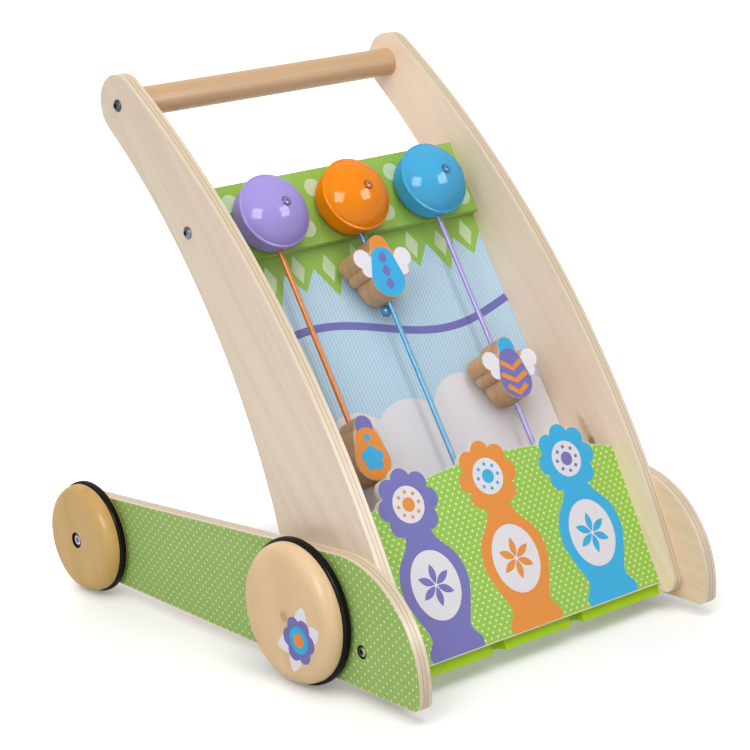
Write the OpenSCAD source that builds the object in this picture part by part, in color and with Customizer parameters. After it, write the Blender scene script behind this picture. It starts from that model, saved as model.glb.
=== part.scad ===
// Toddler push toy: two bowed plywood uprights on low wheeled rails, with a
// slanted play panel that carries three bells and three sliders on rods.
// Millimetres. X runs across the toy, -Y is the front, Z is up, floor at 0.

/* [Frame] */
// Clear width between the two uprights
inner_width = 282; // [264:1:300]
// Thickness of the uprights and of the rails
ply = 12; // [11:0.5:14]
// Height of the handle axis above the floor
handle_height = 442.6; // [436:0.1:450]
// Distance of the handle axis behind the middle
handle_back = 133.4; // [130:0.1:137]
// Diameter of the handle bar
handle_d = 25; // [22:0.5:28]
// Radius of the round top end of the uprights
top_radius = 26; // [25:0.5:28]
// Radius of the bowed front edge of the uprights
front_bow = 907; // [890:1:930]
// Angle below level from the handle to the middle of the front bow
front_bow_angle = 55.8; // [55.5:0.1:56.2]
// Radius of the hollow rear edge of the uprights
rear_bow = 643; // [630:1:660]
// Angle below level from the handle to the middle of the rear bow
rear_bow_angle = 51.1; // [50.8:0.1:51.4]
// Gap between the uprights and the floor
upright_clear = 18.6; // [17:0.1:21]
// Radius of the lower front corner of the uprights
toe_radius = 12; // [9:0.5:15]

/* [Rails] */
// Gap between the rails and the floor
rail_clear = 11.6; // [10:0.1:13]
// Radius of the round front end of the rails
nose_radius = 89; // [86:0.5:92]
// Height of the middle of the round front end
nose_height = 29.2; // [28:0.1:31]
// Distance of the foremost point of the rails in front of the middle
nose_front = 246.6; // [244:0.1:249]
// Radius of the lower front corner of the rails
nose_corner = 9; // [6:0.5:11]
// Radius of the round rear end of the rails
tail_radius = 38.1; // [36:0.1:40]

/* [Wheels] */
// Diameter of the front wheels over the tyre
front_wheel_d = 122.7; // [118:0.1:127]
// Diameter of the rear wheels over the tyre
rear_wheel_d = 100.9; // [97:0.1:105]
// Distance of the front axle behind the back panel
axle_behind = 23.73; // [22:0.01:25]
// Distance of the rear axle behind the middle
rear_axle_y = 196.2; // [193:0.1:199]
// Thickness of the wheels
wheel_w = 21.5; // [20:0.5:24]
// Rounding of the wheels' outer edge
wheel_round = 11.5; // [9:0.5:12]
// Width of the tyre groove
tyre_w = 7; // [6:0.1:8]
// Depth of the tyre groove
tyre_depth = 4.5; // [3:0.5:6]
// Height of the front tyres above the wood
front_rise = 2.9; // [2.2:0.05:3.4]
// Height of the rear tyres above the wood
rear_rise = 1.9; // [1.5:0.05:2.4]
// Width of the thin rim between the tyre and the rail
tyre_rim = 0.9; // [0.7:0.1:1.5]
// Rounding of the tyre's shoulders
tyre_round = 2.2; // [1.5:0.1:2.8]
// Diameter of the wooden front axle
front_axle_d = 9; // [7:0.5:9.5]
// Thickness of the washers between the wheels and the rails
washer_t = 1.6; // [1.2:0.1:2]
// Diameter of the rear axle bolts
rear_axle_d = 8; // [6:0.5:9]

/* [Play panel] */
// Lean of the back panel and rods from upright
tilt = 32; // [31:0.25:33]
// Lean of the front panel from upright
front_tilt = 26.6; // [26:0.2:27.4]
// Distance of the rods' upper end in front of the handle axis
rod_forward = 128.3; // [126:0.1:130]
// Distance of the rods' upper end below the handle axis
rod_below = 119.8; // [118:0.1:122]
// Distance of the back panel behind the rods
sky_back = 19; // [17:0.5:19.5]
// Thickness of the back panel
sky_t = 3; // [2.5:0.1:3.4]
// Thickness of the bell board
board_t = 18; // [16:0.5:20]
// Height of the bell board along the panel
board_h = 66.5; // [62:0.5:70]
// Distance of the bell board's face behind the rods
board_back = 10; // [9.5:0.1:10.5]
// Thickness of the front panel
front_t = 5; // [4:0.25:6]
// Height of the front panel's lower edge above the floor
front_low = 25.6; // [24:0.1:28]
// Level distance from the rods' line to the front panel's lower edge
front_gap = 23.5; // [22:0.5:26]
// Height of the front panel's straight part along its face
grass_h = 124; // [118:1:128]
// Radius of the blossom outlines over the petals
bloom_r = 31; // [28:0.5:33]
// Number of petals round a blossom
petals = 8; // [6:1:10]
// Gap between the bottom bar and the floor
bar_clear = 15.6; // [14:0.1:17]
// Height above the floor at which the rods enter the bottom bar
bar_height = 64.1; // [61:0.1:67]
// Depth of the grooves that hold the panels
groove = 4; // [3:0.5:5]

/* [Rods and sliders] */
// Distance of the outer rods from the uprights
rod_edge = 54; // [51:0.5:57]
// Diameter of the rods
rod_d = 4.5; // [4:0.1:5]
// Thickness of the sliders
slider_t = 23; // [20:0.5:24]
// Part of the slider thickness in front of the rod
slider_front = 13; // [11:0.5:13.5]
// Distance of the left slider below the rods' upper end
left_drop = 180; // [40:1:265]
// Distance of the centre slider below the rods' upper end
centre_drop = 34; // [33:1:255]
// Distance of the right slider below the rods' upper end
right_drop = 147; // [40:1:265]
// Radius of the widest part of the sliders
belly_r = 17; // [15:0.5:18]
// Turn of the sliders' outlines about the rods
bug_turn = -7; // [-10:1:0]
// Radius of the bead below the centre slider
bead_r = 5; // [4:0.5:6]
// Running gap of the sliders on the rods
slide_gap = 0.08; // [0.05:0.01:0.1]

/* [Bells] */
// Radius of the bell domes at the lip
bell_r = 32; // [31:0.1:33]
// Height of the bell domes above the lip
dome_h = 20; // [18:0.5:22]
// Distance of the lip in front of the rods
lip_out = 14.5; // [13.5:0.1:15.5]
// Distance of the bell middles above the rods' upper end
bell_up = 33; // [32.5:0.1:34]
// Radius of the rolled lip of the bells
lip_r = 1.7; // [1.2:0.1:1.8]
// Radius of the bend at the back of the bells
cup_bend = 10; // [8:0.5:12]
// Radius of the posts inside the bells
post_r = 7; // [6.5:0.5:8]
// Thickness of the bell metal
bell_t = 1; // [0.8:0.1:1.2]

/* [Fasteners] */
// Diameter of the frame bolts
bolt_d = 6; // [5:0.5:6.5]
// Diameter of the bolt heads
bolt_head_d = 10.5; // [9.5:0.5:11.5]
// Length of the threaded inserts
insert_l = 15; // [12:0.5:16]
// Diameter of the locating dowels
dowel_d = 8; // [7:0.5:8.5]
// Diameter of the rail screws
screw_d = 3.5; // [3:0.1:4]
// Diameter of the bell rivets
rivet_d = 4; // [3.5:0.1:4.4]
// Radial gap of parts that are pushed into holes
fit_gap = 0.1; // [0.05:0.05:0.2]
// Gap between turning or sliding parts and fixed ones
run_gap = 0.4; // [0.3:0.1:0.6]
// Radial gap of axles in their bores
axle_gap = 0.06; // [0.03:0.01:0.1]

/* [Hidden] */
$fn = 96;
// Depth by which a straight or hollow side sinks below the round end that it runs into
seam = 0.005;
half = inner_width / 2;
upright_out = half + ply;
rail_out = half + 2 * ply;
bow_middle = [handle_back + (front_bow - top_radius) * cos(front_bow_angle),
              handle_height - (front_bow - top_radius) * sin(front_bow_angle)];
hollow_middle = [handle_back + (rear_bow + top_radius) * cos(rear_bow_angle),
                 handle_height - (rear_bow + top_radius) * sin(rear_bow_angle)];
toe_z = upright_clear + toe_radius;
toe_y = bow_middle[0] - sqrt(pow(front_bow - toe_radius, 2) - pow(toe_z - bow_middle[1], 2));
toe_dir = atan2(toe_z - bow_middle[1], toe_y - bow_middle[0]);
front_r = front_wheel_d / 2;
rear_r = rear_wheel_d / 2;
washer_r = front_axle_d;
wheel_in = rail_out + washer_t + run_gap;
wheel_out = wheel_in + wheel_w;
nose_y = nose_radius - nose_front;
tail_z = rail_clear + tail_radius;
corner_z = rail_clear + nose_corner;
corner_y = nose_y - sqrt(pow(nose_radius - nose_corner, 2) - pow(corner_z - nose_height, 2));
corner_dir = atan2(corner_z - nose_height, corner_y - nose_y);
rail_span = norm([rear_axle_y - nose_y, tail_z - nose_height]);
rail_dir = atan2(tail_z - nose_height, rear_axle_y - nose_y)
         + acos((nose_radius - tail_radius) / rail_span);
rod_y = handle_back - rod_forward;
rod_z = handle_height - rod_below;
rod_r = rod_d / 2;
rod_pitch = half - rod_edge;
lanes = [-rod_pitch, 0, rod_pitch];
board_low = 0.4 * board_back;
board_mid = -board_back - board_t / 2;
board_bolt_up = board_low + 0.54 * board_h;
front_y = rod_y - (rod_z - front_low) * tan(tilt) - front_gap;
front_back = [front_y + front_t * cos(front_tilt), front_low - front_t * sin(front_tilt)];
bar_top = (bar_height - rod_z) / cos(tilt);
rod_end = bar_top - 3.3 * rod_d;
bar_rise = (bar_top - panel_up(front_back)) / cos(tilt - front_tilt);
bar_fall = (bar_clear - front_back[1]) / cos(front_tilt);
sky_in = sky_back / 2;
panel_at_axle = rod_y + (front_r - rod_z) * tan(tilt) + (sky_back + sky_t) / cos(tilt);
front_axle_y = -panel_at_axle - axle_behind;
sky_low = (1.13 * bar_clear - rod_z + (sky_back + sky_t) * sin(tilt)) / cos(tilt);
bar_bolt = front_point(1.1 * front_low, -front_t - 0.43 * front_low);
bar_dowel = panel_point(bar_top - 2.75 * dowel_d, 0.5 * dowel_d - 0.68 * sky_back);
bolt_r = bolt_d / 2;
insert_r = 0.79 * bolt_d;
dowel_r = dowel_d / 2;
board_dowel_up = board_low + 0.3 * board_h;
sink = 0.35 * bolt_d;
tee_wall = 0.19 * rear_axle_d;
head_sink = 0.62 * rear_axle_d;
slider_back = slider_t - slider_front;
bead_up = -centre_drop - (1 + 0.65 * cos(bug_turn)) * belly_r - bead_r;
peg_out = bead_r / 2 - slider_back;
rod_in = 0.7 * post_r;
rivet_r = rivet_d / 2;
cup_r = bell_r - 1.1 * bell_t - run_gap;
cup_top = lip_out - 1.5 * bell_t;
dome_ball = (pow(bell_r, 2) + pow(dome_h, 2)) / (2 * dome_h);
dome_mid = lip_out + dome_h - dome_ball;
dome_flat = lip_out + dome_h - 0.3 * bell_t;
post_top = dome_flat - 2 * bell_t;

// Point of the side view at a place up the panel and out from the rods
function panel_point(up, out) =
    [rod_y + up * sin(tilt) - out * cos(tilt), rod_z + up * cos(tilt) + out * sin(tilt)];
// Distance of a side-view point up along the rods
function panel_up(p) = (p[0] - rod_y) * sin(tilt) + (p[1] - rod_z) * cos(tilt);
// Point of the side view at a place up the front panel and out from its face
function front_point(up, out) =
    [front_y + up * sin(front_tilt) - out * cos(front_tilt),
     front_low + up * cos(front_tilt) + out * sin(front_tilt)];
// Point at a distance and direction from another point
function polar(p, r, a) = [p[0] + r * cos(a), p[1] + r * sin(a)];

// Frame of the back panel: X across, Y up along the rods, Z out towards the child
module on_panel() {
    translate([0, rod_y, rod_z]) rotate([90 - tilt, 0, 0]) children();
}

// Frame of the front panel with its lower edge on the X axis
module on_front() {
    translate([0, front_y, front_low]) rotate([90 - front_tilt, 0, 0]) children();
}

// Side-view outline raised along X from a given place
module side_plate(x, t) {
    translate([x, 0, 0]) rotate([90, 0, 90]) linear_extrude(t) children();
}

// Round bar along X through a side-view point
module cross_bar(p, r, x, l) {
    translate([x, p[0], p[1]]) rotate([0, 90, 0]) cylinder(r = r, h = l);
}

// Two circles joined by their outer tangent lines
module link(a, ra, b, rb) {
    d = atan2(b[1] - a[1], b[0] - a[0]);
    t = acos((ra - rb) / norm(b - a));
    translate(a) circle(ra);
    translate(b) circle(rb);
    polygon([polar(a, ra - seam, d - t), polar(b, rb - seam, d - t),
        polar(b, rb - seam, d + t), polar(a, ra - seam, d + t)]);
}

// Side outline of an upright: bowed front, hollow rear, round top and toe
module upright_outline() {
    handle = [handle_back, handle_height];
    low = upright_clear + seam;
    difference() {
        intersection() {
            translate(bow_middle) circle(front_bow - seam, $fn = 360);
            polygon([polar(handle, -2 * top_radius, -front_bow_angle),
                [-front_bow, handle_height + 4 * top_radius], [-front_bow, toe_z],
                polar(bow_middle, front_bow + 4 * toe_radius, toe_dir), [toe_y, toe_z], [toe_y, low],
                [handle_back + 2.3 * top_radius, low],
                polar(handle, 2 * top_radius, -rear_bow_angle), handle]);
        }
        translate(hollow_middle) circle(rear_bow + seam, $fn = 360);
    }
    translate(handle) circle(top_radius);
    translate([toe_y, toe_z]) circle(toe_radius);
}

// Side outline of a rail: round nose, straight sloping top and round tail
module rail_outline() {
    nose = [nose_y, nose_height];
    tail = [rear_axle_y, tail_z];
    low = rail_clear + seam;
    intersection() {
        translate(nose) circle(nose_radius - seam, $fn = 180);
        polygon([[corner_y, low], [0, low], [0, 2 * nose_radius], [-2 * nose_front, 2 * nose_radius],
            [-2 * nose_front, corner_z], polar(nose, 2 * nose_radius, corner_dir), [corner_y, corner_z]]);
    }
    translate(tail) circle(tail_radius);
    translate([corner_y, corner_z]) circle(nose_corner);
    polygon([nose, [corner_y, corner_z], [corner_y, low], [rear_axle_y, low], tail,
        polar(tail, tail_radius - seam, rail_dir),
        polar(nose, nose_radius - 2 * seam, rail_dir)]);
}

// Side-view places of the screws that hold a rail to its upright
rail_screws_at = [[-front_axle_y + 0.33 * front_r, 1.36 * front_r],
    [-front_axle_y + 0.13 * front_r, 0.52 * front_r]];

// Right-hand upright with its bolt, axle, dowel and screw holes and panel grooves
module upright() {
    difference() {
        side_plate(half, ply) upright_outline();
        cross_bar([handle_back, handle_height], bolt_r + fit_gap, half - 1, ply + 2);
        cross_bar(panel_point(board_bolt_up, board_mid), bolt_r + fit_gap, half - 1, ply + 2);
        cross_bar(bar_bolt, bolt_r + fit_gap, half - 1, ply + 2);
        cross_bar([-front_axle_y, front_r], front_axle_d / 2 + axle_gap, half - 1, ply + 2);
        cross_bar(panel_point(board_dowel_up, board_mid), dowel_r + fit_gap, half - 1, dowel_d + 1);
        cross_bar(bar_dowel, dowel_r + fit_gap, half - 1, dowel_d + 1);
        on_panel() translate([half - 1, sky_low - 1, -sky_back - sky_t - fit_gap])
            cube([groove + 1, board_low + sky_in + 2 - sky_low, sky_t + 2 * fit_gap]);
        on_front() translate([half - 1, -fit_gap, -front_t - fit_gap])
            cube([groove + 1, grass_h + 2 * fit_gap, front_t + 2 * fit_gap]);
        for (p = rail_screws_at) rail_screw_at(p, fit_gap);
    }
}

// Left upright
module left_upright() {
    color("wheat") mirror([1, 0, 0]) upright();
}

// Right upright
module right_upright() {
    color("wheat") upright();
}

// Right-hand rail with its axle and bolt holes
module rail() {
    difference() {
        side_plate(upright_out, ply) rail_outline();
        cross_bar([-front_axle_y, front_r], front_axle_d / 2 + axle_gap, upright_out - 1, ply + 2);
        cross_bar([rear_axle_y, rear_r], rear_axle_d / 2 + tee_wall + fit_gap, upright_out - 1, ply + 2);
        cross_bar(bar_bolt, bolt_r + fit_gap, upright_out - 1, ply + 2);
        cross_bar(bar_bolt, bolt_head_d / 2 + 0.08 * bolt_d, rail_out - sink, 2 * sink);
        for (p = rail_screws_at) rail_screw_at(p, fit_gap);
    }
}

// Left rail
module left_rail() {
    color("wheat") mirror([1, 0, 0]) rail();
}

// Right rail
module right_rail() {
    color("wheat") rail();
}

// Round handle bar with an insert hole in each end
module handle_bar() {
    color("tan") difference() {
        cross_bar([handle_back, handle_height], handle_d / 2, -half, inner_width);
        for (s = [0, 1]) mirror([s, 0, 0])
            cross_bar([handle_back, handle_height], insert_r + fit_gap, half - insert_l, insert_l + 1);
    }
}

// Thick board behind the bells, grooved below for the back panel
module bell_board() {
    color("yellowgreen") difference() {
        on_panel() translate([-half, board_low, -board_back - board_t])
            cube([inner_width, board_h, board_t]);
        on_panel() translate([-half - 1, board_low - 1, -sky_back - sky_t - fit_gap])
            cube([inner_width + 2, sky_in + 1.5, sky_t + 2 * fit_gap]);
        for (s = [0, 1]) mirror([s, 0, 0]) {
            cross_bar(panel_point(board_bolt_up, board_mid), insert_r + fit_gap,
                half - insert_l, insert_l + 1);
            cross_bar(panel_point(board_dowel_up, board_mid), dowel_r + fit_gap,
                half - 1.75 * dowel_d, 2 * dowel_d);
        }
        for (x = lanes) on_panel() translate([x, bell_up, -board_back - 1.15 * post_r])
            cylinder(r = 0.57 * post_r + fit_gap, h = 2 * post_r);
    }
}

// Thin back panel held in the grooves of the uprights and the bell board
module sky_panel() {
    w = inner_width + 2 * groove - 6 * fit_gap;
    color("lightblue") on_panel() translate([-w / 2, sky_low, -sky_back - sky_t])
        cube([w, board_low + sky_in - sky_low, sky_t]);
}

// Round blossom of petals about a middle
module bloom() {
    petal_r = bloom_r / 3.1;
    circle(bloom_r - 0.8 * petal_r);
    for (k = [0 : petals - 1]) rotate(90 + k * 360 / petals)
        translate([bloom_r - petal_r, 0]) circle(petal_r);
}

// Heights of the blossom middles above the front panel's lower edge
bloom_at = [grass_h + 0.1 * bloom_r, grass_h + 0.2 * bloom_r, grass_h + 0.03 * bloom_r];

// Front panel: straight grooved part with three blossoms standing above it
module front_panel() {
    w = inner_width + 2 * groove - 6 * fit_gap;
    color("limegreen") on_front() translate([0, 0, -front_t]) linear_extrude(front_t) {
        translate([-w / 2, 0]) square([w, grass_h]);
        for (k = [0 : 2]) translate([lanes[k], bloom_at[k]]) bloom();
    }
}

// Bottom bar between the two panels, with two half-round notches in front
module bottom_bar() {
    color("greenyellow") difference() {
        side_plate(-half, inner_width) polygon([
            front_back + bar_fall * [sin(front_tilt), cos(front_tilt)],
            front_back + bar_rise * [sin(front_tilt), cos(front_tilt)],
            panel_point(bar_top, -sky_back),
            panel_point((bar_clear - rod_z + sky_back * sin(tilt)) / cos(tilt), -sky_back)]);
        for (x = lanes) on_panel() translate([x, rod_end, 0]) rotate([-90, 0, 0])
            cylinder(r = rod_r + fit_gap, h = 2 * (bar_top - rod_end));
        for (x = [-0.5, 0.5]) on_front() translate([x * rod_pitch, -1.6 * front_low, -front_t])
            rotate([-90, 0, 0]) cylinder(r = 1.4 * front_t, h = 1.8 * front_low);
        for (s = [0, 1]) mirror([s, 0, 0]) {
            cross_bar(bar_bolt, insert_r + fit_gap, half - insert_l, insert_l + 1);
            cross_bar(bar_dowel, dowel_r + fit_gap, half - 1.75 * dowel_d, 2 * dowel_d);
        }
    }
}

// Straight wire rod from the bell post down into the bottom bar
module rod(x) {
    on_panel() translate([x, rod_end, 0]) rotate([-90, 0, 0])
        cylinder(r = rod_r, h = bell_up - post_r + rod_in - rod_end);
}

// Left rod
module left_rod() {
    color("orange") rod(lanes[0]);
}

// Centre rod
module centre_rod() {
    color("deepskyblue") rod(lanes[1]);
}

// Right rod
module right_rod() {
    color("mediumpurple") rod(lanes[2]);
}

// Turned posts inside the bells, pegged into the bell board
module bell_posts() {
    color("wheat") for (x = lanes) on_panel() translate([x, bell_up, 0]) difference() {
        union() {
            translate([0, 0, -board_back]) cylinder(r = post_r, h = 3 * board_back);
            translate([0, 0, board_back]) cylinder(r = 0.64 * post_r, h = post_top - board_back);
            translate([0, 0, -board_back - 1.07 * post_r]) cylinder(r = 0.57 * post_r, h = 1.2 * post_r);
        }
        translate([0, 0, post_top - 2 * post_r]) cylinder(r = rivet_r + fit_gap, h = 3 * post_r);
        translate([0, rod_in - post_r, 0]) rotate([90, 0, 0]) cylinder(r = rod_r + fit_gap, h = 2 * rod_in);
    }
}

// Half section of the filled cup, smaller by a wall
module cup_section(wall) {
    intersection() {
        union() {
            translate([cup_r - cup_bend, cup_bend - board_back]) circle(cup_bend - wall);
            translate([0, wall - board_back]) square([cup_r - cup_bend, cup_bend]);
            translate([0, cup_bend - board_back])
                square([cup_r - wall, cup_top - cup_bend + board_back]);
        }
        translate([0, -board_back - 1]) square([2 * cup_r, cup_top + board_back + 1]);
    }
}

// Rounded lower cup of a bell with a hole for the post and one for the rod
module bell_cup(x) {
    on_panel() translate([x, bell_up, 0]) difference() {
        rotate_extrude() difference() {
            cup_section(0);
            cup_section(bell_t);
            translate([0, -board_back - 1]) square([post_r + fit_gap, 4 * bell_t]);
            translate([0, cup_top]) square([2 * cup_r, bell_r]);
            translate([0, cup_bend - board_back]) square([cup_r - bell_t, bell_r]);
        }
        rotate([90, 0, 0]) cylinder(r = 1.3 * rod_r, h = 2 * bell_r);
    }
}

// Left bell cup
module left_bell_cup() {
    color("mediumpurple") bell_cup(lanes[0]);
}

// Centre bell cup
module centre_bell_cup() {
    color("orange") bell_cup(lanes[1]);
}

// Right bell cup
module right_bell_cup() {
    color("deepskyblue") bell_cup(lanes[2]);
}

// Half section of the space under a dome of a given ball radius
module dome_section(ball, top) {
    intersection() {
        translate([0, dome_mid]) circle(ball, $fn = 180);
        translate([0, lip_out]) square([2 * bell_r, top - lip_out]);
    }
}

// Low bell dome with a rolled lip and a flat seat for the rivet
module bell_dome(x) {
    on_panel() translate([x, bell_up, 0]) rotate_extrude() difference() {
        union() {
            difference() {
                dome_section(dome_ball, dome_flat);
                dome_section(dome_ball - bell_t, post_top);
            }
            difference() {
                translate([bell_r - bell_t, lip_out - 3 * bell_t]) square([bell_t, 3.6 * bell_t]);
                translate([0, lip_out]) square([bell_r - 2 * bell_t, 3 * bell_t]);
            }
            translate([bell_r - 0.3 * lip_r, lip_out - 0.4 * lip_r]) circle(lip_r);
        }
        translate([0, lip_out]) square([rivet_r + fit_gap, 2 * dome_h]);
        translate([0, lip_out - 5 * bell_t]) square([bell_r - bell_t, 5 * bell_t]);
    }
}

// Left bell dome
module left_bell_dome() {
    color("mediumpurple") bell_dome(lanes[0]);
}

// Centre bell dome
module centre_bell_dome() {
    color("orange") bell_dome(lanes[1]);
}

// Right bell dome
module right_bell_dome() {
    color("deepskyblue") bell_dome(lanes[2]);
}

// Rivets that hold the domes on the posts
module bell_rivets() {
    color("silver") for (x = lanes) on_panel() translate([x, bell_up, 0]) {
        translate([0, 0, dome_flat]) intersection() {
            cylinder(r = 2.2 * rivet_r, h = 1.1 * rivet_r);
            translate([0, 0, -1.9 * rivet_r]) sphere(3 * rivet_r);
        }
        translate([0, 0, dome_flat - 6.5 * rivet_r]) cylinder(r = rivet_r, h = 6.6 * rivet_r);
    }
}

// Socket bolt along Z: low round head above 0, shank below
module socket_bolt(l) {
    ball = 0.714 * bolt_head_d;
    head = bolt_d / 2;
    difference() {
        union() {
            intersection() {
                cylinder(r = bolt_head_d / 2, h = head);
                translate([0, 0, head - ball]) sphere(ball);
            }
            translate([0, 0, -l]) cylinder(r = bolt_r, h = l + head / 6);
        }
        translate([0, 0, 0.4 * head]) cylinder(r = 0.77 * bolt_r, h = head, $fn = 6);
    }
}

// Pair of socket bolts, one from each side, at a side-view point
module bolt_pair(p, x, l) {
    color("silver") for (s = [0, 1]) mirror([s, 0, 0])
        translate([x, p[0], p[1]]) rotate([0, 90, 0]) socket_bolt(l);
}

// Bolts through the uprights into the handle bar
module handle_bolts() {
    bolt_pair([handle_back, handle_height], upright_out, ply + 0.87 * insert_l);
}

// Bolts through the uprights into the bell board
module board_bolts() {
    bolt_pair(panel_point(board_bolt_up, board_mid), upright_out, ply + 0.87 * insert_l);
}

// Sunk bolts through the rails and uprights into the bottom bar
module rail_bolts() {
    bolt_pair(bar_bolt, rail_out - sink, 2 * ply - sink + 0.87 * insert_l);
}

// Threaded inserts in the ends of the handle bar, bell board and bottom bar
module threaded_inserts() {
    color("goldenrod")
    for (p = [[handle_back, handle_height], panel_point(board_bolt_up, board_mid), bar_bolt])
        for (s = [0, 1]) mirror([s, 0, 0]) difference() {
            cross_bar(p, insert_r, half - insert_l, insert_l);
            cross_bar(p, bolt_r + fit_gap, half - insert_l - 1, insert_l + 2);
        }
}

// Wooden dowels that keep the bell board and bottom bar from turning
module locating_dowels() {
    color("wheat") for (p = [panel_point(board_dowel_up, board_mid), bar_dowel])
        for (s = [0, 1]) mirror([s, 0, 0]) cross_bar(p, dowel_r, half - 1.7 * dowel_d, 2.6 * dowel_d);
}

// Sunk wood screw from the inside of an upright into a rail, grown by a gap
module rail_screw_at(p, gap) {
    translate([half, p[0], p[1]]) rotate([0, 90, 0]) {
        translate([0, 0, -gap])
            cylinder(r1 = 1.15 * screw_d + gap, r2 = screw_d / 2 + gap, h = 0.7 * screw_d + gap);
        cylinder(r = screw_d / 2 + gap, h = 1.67 * ply + gap);
    }
}

// Screws that hold the rails to the uprights
module rail_screws() {
    color("silver") for (s = [0, 1]) mirror([s, 0, 0]) for (p = rail_screws_at) difference() {
        rail_screw_at(p, 0);
        translate([half - 1, p[0], p[1]]) rotate([0, 90, 0])
            cylinder(r = 0.46 * screw_d, h = 0.4 * screw_d + 1, $fn = 6);
    }
}

// Half section of a wheel: rounded outer edge and a groove near the inner face for the tyre
module wheel_section(r) {
    e = wheel_round;
    difference() {
        union() {
            square([r - e, wheel_w]);
            square([r, wheel_w - e]);
            translate([r - e, wheel_w - e]) circle(e);
        }
        translate([r - tyre_depth, tyre_rim]) square([2 * tyre_depth, tyre_w]);
        translate([-r, -1]) square([r, wheel_w + 2]);
    }
}

// Half section of a tyre: flat foot in the groove and a tread with round shoulders
module tyre_section(r, rise) {
    foot = r - rise - tyre_depth + fit_gap;
    e = tyre_round;
    translate([foot, 0]) square([r - e - foot, tyre_w]);
    translate([foot, e]) square([r - foot, tyre_w - 2 * e]);
    for (y = [e, tyre_w - e]) translate([r - e, y]) circle(e);
}

// Place of a wheel on the right, its axis along X with the inner face at 0
module at_wheel(y, r) {
    translate([wheel_in, y, r]) rotate([0, 90, 0]) children();
}

// Front wheel with a bore for the axle end
module front_wheel() {
    at_wheel(-front_axle_y, front_r) difference() {
        rotate_extrude($fn = 180) wheel_section(front_r - front_rise);
        translate([0, 0, -1]) cylinder(r = front_axle_d / 2 + 0.02, h = wheel_w + 2);
    }
}

// Rear wheel with a bore for the axle bolt and a recess for its head
module rear_wheel() {
    at_wheel(rear_axle_y, rear_r) difference() {
        rotate_extrude($fn = 180) wheel_section(rear_r - rear_rise);
        translate([0, 0, -1]) cylinder(r = rear_axle_d / 2 + axle_gap, h = wheel_w + 2);
        translate([0, 0, wheel_w - head_sink]) cylinder(r = 0.88 * rear_axle_d, h = 2 * head_sink);
    }
}

// Rubber tyre of a given radius and height above the wood
module tyre(y, r, rise) {
    at_wheel(y, r) translate([0, 0, tyre_rim]) rotate_extrude($fn = 180) tyre_section(r, rise);
}

// Front left wheel
module front_left_wheel() {
    color("burlywood") mirror([1, 0, 0]) front_wheel();
}

// Front right wheel
module front_right_wheel() {
    color("burlywood") front_wheel();
}

// Rear left wheel
module rear_left_wheel() {
    color("burlywood") mirror([1, 0, 0]) rear_wheel();
}

// Rear right wheel
module rear_right_wheel() {
    color("burlywood") rear_wheel();
}

// Front left tyre
module front_left_tyre() {
    color("black") mirror([1, 0, 0]) tyre(-front_axle_y, front_r, front_rise);
}

// Front right tyre
module front_right_tyre() {
    color("black") tyre(-front_axle_y, front_r, front_rise);
}

// Rear left tyre
module rear_left_tyre() {
    color("black") mirror([1, 0, 0]) tyre(rear_axle_y, rear_r, rear_rise);
}

// Rear right tyre
module rear_right_tyre() {
    color("black") tyre(rear_axle_y, rear_r, rear_rise);
}

// Wooden axle that joins the two front wheels
module front_axle() {
    color("tan") cross_bar([-front_axle_y, front_r], front_axle_d / 2, -wheel_out, 2 * wheel_out);
}

// Bolts on which the rear wheels turn, screwed into tee nuts
module rear_axle_bolts() {
    head_z = wheel_w - head_sink + run_gap;
    color("silver") for (s = [0, 1]) mirror([s, 0, 0]) at_wheel(rear_axle_y, rear_r) difference() {
        union() {
            translate([0, 0, head_z]) cylinder(r = 0.7 * rear_axle_d, h = 0.68 * head_sink);
            translate([0, 0, upright_out - wheel_in]) cylinder(r = rear_axle_d / 2,
                h = head_z + 0.1 * head_sink + wheel_in - upright_out);
        }
        translate([0, 0, head_z + 0.3 * head_sink]) cylinder(r = 0.36 * rear_axle_d, h = head_sink, $fn = 6);
    }
}

// Tee nuts behind the rails for the rear axle bolts
module rear_tee_nuts() {
    color("silver") for (s = [0, 1]) mirror([s, 0, 0])
        translate([upright_out, rear_axle_y, rear_r]) rotate([0, 90, 0]) difference() {
            union() {
                translate([0, 0, -tee_wall]) cylinder(r = 1.25 * rear_axle_d, h = tee_wall);
                translate([0, 0, -tee_wall / 2]) cylinder(r = rear_axle_d / 2 + tee_wall, h = 0.85 * ply);
            }
            translate([0, 0, -2 * tee_wall]) cylinder(r = rear_axle_d / 2 + fit_gap, h = 2 * ply);
        }
}

// Washers between the wheels and the rails
module wheel_washers() {
    color("silver") for (s = [0, 1]) mirror([s, 0, 0]) {
        washer([-front_axle_y, front_r], front_axle_d / 2 + run_gap);
        washer([rear_axle_y, rear_r], rear_axle_d / 2 + fit_gap);
    }
}

// Washer on the outside of a rail at a side-view point
module washer(p, r) {
    difference() {
        cross_bar(p, washer_r, rail_out, washer_t);
        cross_bar(p, r, rail_out - 1, washer_t + 2);
    }
}

// Outline of a bug's body and head about its middle
module bug_outline() {
    b = belly_r;
    link([0, -0.65 * b], b, [0, 0.47 * b], 0.765 * b);
    link([0, 0.47 * b], 0.65 * b, [0, 1.15 * b], 0.53 * b);
}

// Outline of a pair of rounded wings
module wing_outline() {
    b = belly_r;
    for (s = [0, 1]) mirror([s, 0, 0]) {
        link([0.53 * b, 0.24 * b], 0.35 * b, [1.24 * b, 0.46 * b], 0.53 * b);
        link([0.53 * b, 0.12 * b], 0.35 * b, [1.03 * b, -0.15 * b], 0.41 * b);
    }
}

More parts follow.
